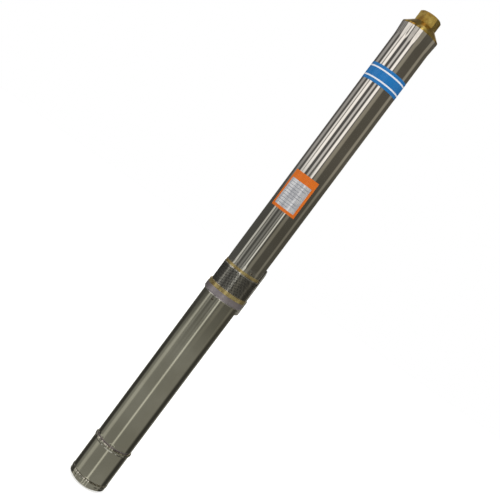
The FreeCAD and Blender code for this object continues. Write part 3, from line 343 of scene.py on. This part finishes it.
# Brass castings: suction bracket, head and valve guide, olive gold with brown stains.
brass = metal("cast_brass", (0.74, 0.56, 0.15), (0.40, 0.21, 0.03), 0.14, 0.05,
              (160.0, 160.0, 160.0), 0.08, 45.0, metal_share=0.93)
dress(brass, "discharge_head", "check_valve_guide")
worn_brass = metal("worn_brass", (0.80, 0.66, 0.30), (0.46, 0.33, 0.13), 0.24, 0.06,
                   (160.0, 160.0, 160.0), 0.2, 70.0, metal_share=0.85)
dress(worn_brass, "inlet_bracket")

# Turned steel inside: shafts, coupling, studs, spring and ring, bright from the lathe.
bright_steel = metal("bright_steel", (0.66, 0.66, 0.67), (0.55, 0.55, 0.56), 0.22, 0.05,
                     (40.0, 40.0, 900.0), 0.15, 20.0)
dress(bright_steel, "motor_shaft", "pump_shaft", "shaft_coupling", "motor_studs",
      "check_valve_spring", "retaining_ring")

# Laminations of stator and rotor: dark sheets stacked along the axis.
laminations = metal("laminations", (0.30, 0.30, 0.31), (0.20, 0.20, 0.21), 0.45, 0.08,
                    (20.0, 20.0, 1500.0), 0.6, 20.0)
dress(laminations, "stator_core", "rotor_core")


# Moulded and rubber pieces: one matt colour with a slow change of tone and a fine pore.
def moulded(name, colour, dark_colour, roughness, pore_scale=900.0, pore_depth=0.15):
    material = bpy.data.materials.new(name)
    material.use_nodes = True
    tree = material.node_tree
    shader = tree.nodes["Principled BSDF"]
    shader.inputs["Roughness"].default_value = roughness
    place = tree.nodes.new("ShaderNodeTexCoord")
    cloud = tree.nodes.new("ShaderNodeTexNoise")
    cloud.inputs["Scale"].default_value = 30.0
    tone = tree.nodes.new("ShaderNodeValToRGB")
    tone.color_ramp.elements[0].position = 0.3
    tone.color_ramp.elements[0].color = (*dark_colour, 1.0)
    tone.color_ramp.elements[1].position = 0.7
    tone.color_ramp.elements[1].color = (*colour, 1.0)
    pores = tree.nodes.new("ShaderNodeTexNoise")
    pores.inputs["Scale"].default_value = pore_scale
    relief = tree.nodes.new("ShaderNodeBump")
    relief.inputs["Strength"].default_value = pore_depth
    relief.inputs["Distance"].default_value = 0.0003
    tree.links.new(place.outputs["Object"], cloud.inputs["Vector"])
    tree.links.new(place.outputs["Object"], pores.inputs["Vector"])
    tree.links.new(cloud.outputs["Fac"], tone.inputs["Fac"])
    tree.links.new(tone.outputs["Color"], shader.inputs["Base Color"])
    tree.links.new(pores.outputs["Fac"], relief.inputs["Height"])
    tree.links.new(relief.outputs["Normal"], shader.inputs["Normal"])
    return material


# Motor inside: rubber diaphragm and slinger, carbon bearings and seal, varnished copper coils.
dress(moulded("black_rubber", (0.035, 0.035, 0.035), (0.02, 0.02, 0.02), 0.75),
      "pressure_diaphragm", "sand_slinger", "top_bearing_bush")
dress(moulded("carbon", (0.06, 0.06, 0.065), (0.035, 0.035, 0.04), 0.42),
      "thrust_pads", "thrust_disc", "lower_bearing_bush", "upper_bearing_bush",
      "seal_ring", "seal_seat")
dress(moulded("coil_varnish", (0.50, 0.19, 0.07), (0.30, 0.10, 0.04), 0.30, 400.0, 0.5),
      "stator_windings")
dress(moulded("socket_plastic", (0.07, 0.07, 0.07), (0.045, 0.045, 0.045), 0.5), "lead_socket")

# Stages: black moulded bowls and spider, cream impellers, and a pale valve disc.
stage_names = [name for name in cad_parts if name.startswith("stage_bowl")]
impeller_names = [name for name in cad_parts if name.startswith("impeller")]
dress(moulded("bowl_plastic", (0.11, 0.11, 0.11), (0.08, 0.08, 0.08), 0.5),
      "top_bearing_spider", *stage_names)
dress(moulded("impeller_plastic", (0.74, 0.68, 0.52), (0.66, 0.60, 0.45), 0.42), *impeller_names)
dress(moulded("valve_plastic", (0.80, 0.78, 0.70), (0.72, 0.70, 0.62), 0.4), "check_valve_disc")


# Strainer: thin stainless screen, punched with small diamond holes in staggered rows. It is a
# tube of faces that are poked and joined again into diamonds, and each diamond is inset and
# opened.
screen_low, screen_high = 0.5606, 0.6096
screen_radius = 0.0455
screen_columns, screen_rows = 60, 10
screen_web = 0.00075
screen = bmesh.new()
bmesh.ops.create_circle(screen, segments=screen_columns, radius=screen_radius)
bmesh.ops.translate(screen, verts=screen.verts, vec=(0.0, 0.0, screen_low))
rim = screen.edges[:]
row_height = (screen_high - screen_low) / screen_rows
for row in range(screen_rows):
    grown = bmesh.ops.extrude_edge_only(screen, edges=rim)["geom"]
    bmesh.ops.translate(
        screen, verts=[part for part in grown if isinstance(part, bmesh.types.BMVert)],
        vec=(0.0, 0.0, row_height),
    )
    rim = [part for part in grown if isinstance(part, bmesh.types.BMEdge)
           and all(abs(v.co.z - screen_low - row_height * (row + 1)) < 1e-6 for v in part.verts)]
straight = [edge for edge in screen.edges if len(edge.link_faces) == 2]
bmesh.ops.poke(screen, faces=screen.faces[:])
for vertex in screen.verts:
    flat = Vector((vertex.co.x, vertex.co.y, 0.0))
    vertex.co = flat.normalized() * screen_radius + Vector((0.0, 0.0, vertex.co.z))
bmesh.ops.dissolve_edges(screen, edges=straight, use_verts=False)
diamonds = [face for face in screen.faces if len(face.verts) == 4]
bmesh.ops.inset_individual(screen, faces=diamonds, thickness=screen_web)
bmesh.ops.delete(screen, geom=diamonds, context="FACES")
bmesh.ops.recalc_face_normals(screen, faces=screen.faces)
screen_mesh = bpy.data.meshes.new("strainer_screen")
screen.to_mesh(screen_mesh)
screen.free()
strainer_screen = bpy.data.objects.new("strainer_screen", screen_mesh)
bpy.context.collection.objects.link(strainer_screen)
sheet_depth = strainer_screen.modifiers.new("sheet", "SOLIDIFY")
sheet_depth.thickness = 0.001
sheet_depth.offset = 0.0
screen_steel = metal("punched_steel", (0.72, 0.71, 0.68), (0.50, 0.48, 0.45), 0.11, 0.03)
screen_mesh.materials.append(screen_steel)
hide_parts("strainer")
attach(strainer_screen, "pump_body")


# Hem of the strainer: the plain rolled band that the sleeve's bracket presses on.
def turned_piece(name, outline, body, material, steps=96):
    """Turn an outline of (radius, height) points about the pump's axis."""
    shape = bmesh.new()
    ring = [shape.verts.new((radius, 0.0, height)) for radius, height in outline]
    edges = [shape.edges.new((a, b)) for a, b in zip(ring, ring[1:] + ring[:1])]
    bmesh.ops.spin(
        shape, geom=ring + edges, cent=(0, 0, 0), axis=(0, 0, 1), angle=math.tau,
        steps=steps, use_merge=True,
    )
    bmesh.ops.remove_doubles(shape, verts=shape.verts, dist=1e-6)
    bmesh.ops.recalc_face_normals(shape, faces=shape.faces)
    mesh = bpy.data.meshes.new(name)
    shape.to_mesh(mesh)
    shape.free()
    mesh.materials.append(material)
    piece = bpy.data.objects.new(name, mesh)
    bpy.context.collection.objects.link(piece)
    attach(piece, body)
    return piece


strainer_hem = turned_piece("strainer_hem", [
    (0.0450, 0.6090), (0.0461, 0.6090), (0.0464, 0.6098), (0.0464, 0.6106), (0.0461, 0.6116),
    (0.0450, 0.6116),
], "pump_body", screen_steel)
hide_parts("strainer")

# Behind the screen stands a thin near-black lining as painted shade, in place of the shade inside
# the pump, so the punched holes look black from every side.
painted_shade_sheet = moulded("painted_shade_sheet", (0.022, 0.022, 0.022), (0.012, 0.012, 0.012), 0.8)
lining_inner, lining_outer, lining_low, lining_high = 0.04470, 0.04485, 0.5600, 0.6110
turned_piece("shade_lining", [
    (lining_inner, lining_low), (lining_outer, lining_low),
    (lining_outer, lining_high), (lining_inner, lining_high),
], "pump_body", painted_shade_sheet, 72)


# Rolled edge of the motor tube: a bead that lies under the flange all round. Its metal is much
# lighter than the tube's sheet, as a painted highlight along the flange's lower edge.
bead_middle, bead_height, bead_size = 0.0473, 0.5358, 0.00095
bead_corners = 10
edge_highlight_steel = metal("rolled_edge", (0.88, 0.87, 0.84), (0.74, 0.73, 0.70), 0.12, 0.04)
turned_piece("tube_rolled_edge", [
    (bead_middle + bead_size * math.cos(math.tau * corner / bead_corners),
     bead_height + bead_size * math.sin(math.tau * corner / bead_corners))
    for corner in range(bead_corners)
], "pump_body", edge_highlight_steel)


# Small screws: two pan heads in the motor tube, two in the sleeve's foot and two that hold the
# cable guard. Each head is a low dome with a cross recess, and its shank stays in the sheet.
def small_screw(name, azimuth, height, seat, head_radius, material):
    head_height = head_radius * 0.55
    arm, reach = head_radius * 0.11, head_radius * 0.52
    head = bmesh.new()
    rings = []
    for share, level in ((1.0, -0.9), (1.0, 0.30), (0.90, 0.68), (0.68, 1.0)):
        circle = bmesh.ops.create_circle(head, segments=24, radius=head_radius * share)["verts"]
        bmesh.ops.translate(head, verts=circle, vec=(0.0, 0.0, head_height * level))
        rings.append([edge for edge in head.edges if all(vert in circle for vert in edge.verts)])
    for lower, upper in zip(rings, rings[1:]):
        bmesh.ops.bridge_loops(head, edges=lower + upper)
    corners = [(reach, -arm), (reach, arm), (arm, arm), (arm, reach), (-arm, reach), (-arm, arm),
               (-reach, arm), (-reach, -arm), (-arm, -arm), (-arm, -reach), (arm, -reach),
               (arm, -arm)]
    cross = [head.verts.new((x, y, head_height)) for x, y in corners]
    outline = [head.edges.new((a, b)) for a, b in zip(cross, cross[1:] + cross[:1])]
    bmesh.ops.triangle_fill(head, edges=rings[-1] + outline, use_beauty=True)
    inner = [face for face in head.faces if all(vert in cross for vert in face.verts)]
    bmesh.ops.delete(head, geom=inner, context="FACES_ONLY")
    walls = bmesh.ops.extrude_edge_only(head, edges=outline)["geom"]
    sunk = [part for part in walls if isinstance(part, bmesh.types.BMVert)]
    bmesh.ops.translate(head, verts=sunk, vec=(0.0, 0.0, -head_height * 0.8))
    floor_edges = [part for part in walls if isinstance(part, bmesh.types.BMEdge)
                   and all(vert in sunk for vert in part.verts)]
    bmesh.ops.contextual_create(head, geom=floor_edges)
    bmesh.ops.contextual_create(head, geom=rings[0])
    bmesh.ops.recalc_face_normals(head, faces=head.faces)
    outward = Vector((math.cos(math.radians(azimuth)), math.sin(math.radians(azimuth)), 0.0))
    turn = outward.to_track_quat("Z", "Y").to_matrix().to_4x4()
    bmesh.ops.transform(head, matrix=turn, verts=head.verts)
    bmesh.ops.translate(head, verts=head.verts, vec=outward * seat + Vector((0.0, 0.0, height)))
    mesh = bpy.data.meshes.new(name)
    head.to_mesh(mesh)
    head.free()
    mesh.materials.append(material)
    screw = bpy.data.objects.new(name, mesh)
    bpy.context.collection.objects.link(screw)
    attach(screw, "pump_body")


# The screw metal is darker and browner than the sheet it sits in, as painted shade around the small
# heads.
screw_steel = metal("screw_steel", (0.42, 0.39, 0.34), (0.26, 0.23, 0.19), 0.16, 0.04,
                    (300.0, 300.0, 300.0), 0.1, 200.0)
for kind, number, azimuth, height, seat, head_radius in (
    ("tube", 1, -125.0, 0.5265, 0.0464, 0.0032), ("tube", 2, 55.0, 0.5265, 0.0464, 0.0032),
    ("sleeve", 1, -77.0, 0.6235, 0.0440, 0.0028), ("sleeve", 2, 103.0, 0.6235, 0.0440, 0.0028),
    ("guard", 1, 0.0, 0.5345, 0.0509, 0.0034), ("guard", 2, 0.0, 0.6200, 0.0485, 0.0034),
):
    small_screw(f"{kind}_screw_{number}", azimuth, height, seat, head_radius, screw_steel)


# Label: a thin orange foil with a pale panel, glued round the front of the sleeve.
def sleeve_patch(name, radius, first, last, low, high, material, thickness=0.00008):
    """A thin curved sheet on the sleeve between two angles and two heights."""
    steps = max(4, int(abs(last - first) / 2.5))
    patch = bmesh.new()
    start = math.radians(from_degrees + first)
    lower = patch.verts.new((radius * math.cos(start), radius * math.sin(start), low))
    upper = patch.verts.new((radius * math.cos(start), radius * math.sin(start), high))
    side = patch.edges.new((lower, upper))
    bmesh.ops.spin(
        patch, geom=[lower, upper, side], cent=(0, 0, 0), axis=(0, 0, 1),
        angle=math.radians(last - first), steps=steps,
    )
    bmesh.ops.recalc_face_normals(patch, faces=patch.faces)
    bmesh.ops.solidify(patch, geom=patch.faces[:], thickness=thickness)
    bmesh.ops.recalc_face_normals(patch, faces=patch.faces)
    mesh = bpy.data.meshes.new(name)
    patch.to_mesh(mesh)
    patch.free()
    mesh.materials.append(material)
    piece = bpy.data.objects.new(name, mesh)
    bpy.context.collection.objects.link(piece)
    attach(piece, "pump_body")
    return piece


label_radius = 0.04462
label_low, label_high = 0.7766, 0.8717
panel_low, panel_high = 0.7835, 0.8520
layer_step = 0.0001
first_line, line_pitch, line_width = 0.7890, 0.0068, 0.0012
orange_foil = moulded("orange_foil", (0.68, 0.155, 0.008), (0.60, 0.125, 0.006), 0.26, 300.0, 0.05)
pale_foil = metal("pale_foil", (0.84, 0.85, 0.88), (0.64, 0.65, 0.69), 0.17, 0.05,
                  (300.0, 300.0, 300.0), 0.05, 60.0, metal_share=0.55)
ruled_ink = moulded("ruled_ink", (0.24, 0.25, 0.28), (0.20, 0.21, 0.24), 0.4, 300.0, 0.05)
sleeve_patch("label_frame", label_radius, -57.0, 30.0, label_low, label_high, orange_foil)
sleeve_patch("label_panel", label_radius + layer_step, -49.0, 21.5, panel_low, panel_high,
             pale_foil)
for line in range(9):
    line_height = first_line + line_pitch * line
    line_end = 15.0 if line % 3 else -4.0
    sleeve_patch(f"label_rule_{line + 1}", label_radius + 2 * layer_step, -44.0, line_end,
                 line_height, line_height + line_width, ruled_ink)


# Blue band: a painted ring near the top of the sleeve, with plain white lines in it.
band_inner, band_outer, band_low, band_high = 0.04455, 0.04464, 1.1190, 1.1605
line_inner, line_outer = 0.04460, 0.04472
blue_paint = moulded("blue_paint", (0.004, 0.16, 0.45), (0.003, 0.14, 0.40), 0.30, 300.0, 0.05)
white_paint = moulded("white_paint", (0.78, 0.80, 0.84), (0.72, 0.74, 0.80), 0.25, 300.0, 0.05)
turned_piece("blue_band", [
    (band_inner, band_low), (band_outer, band_low),
    (band_outer, band_high), (band_inner, band_high),
], "pump_body", blue_paint, 128)
for number, (low, high) in enumerate(((1.1265, 1.1300), (1.1500, 1.1535)), start=1):
    turned_piece(f"band_line_{number}", [
        (line_inner, low), (line_outer, low), (line_outer, high), (line_inner, high),
    ], "pump_body", white_paint, 128)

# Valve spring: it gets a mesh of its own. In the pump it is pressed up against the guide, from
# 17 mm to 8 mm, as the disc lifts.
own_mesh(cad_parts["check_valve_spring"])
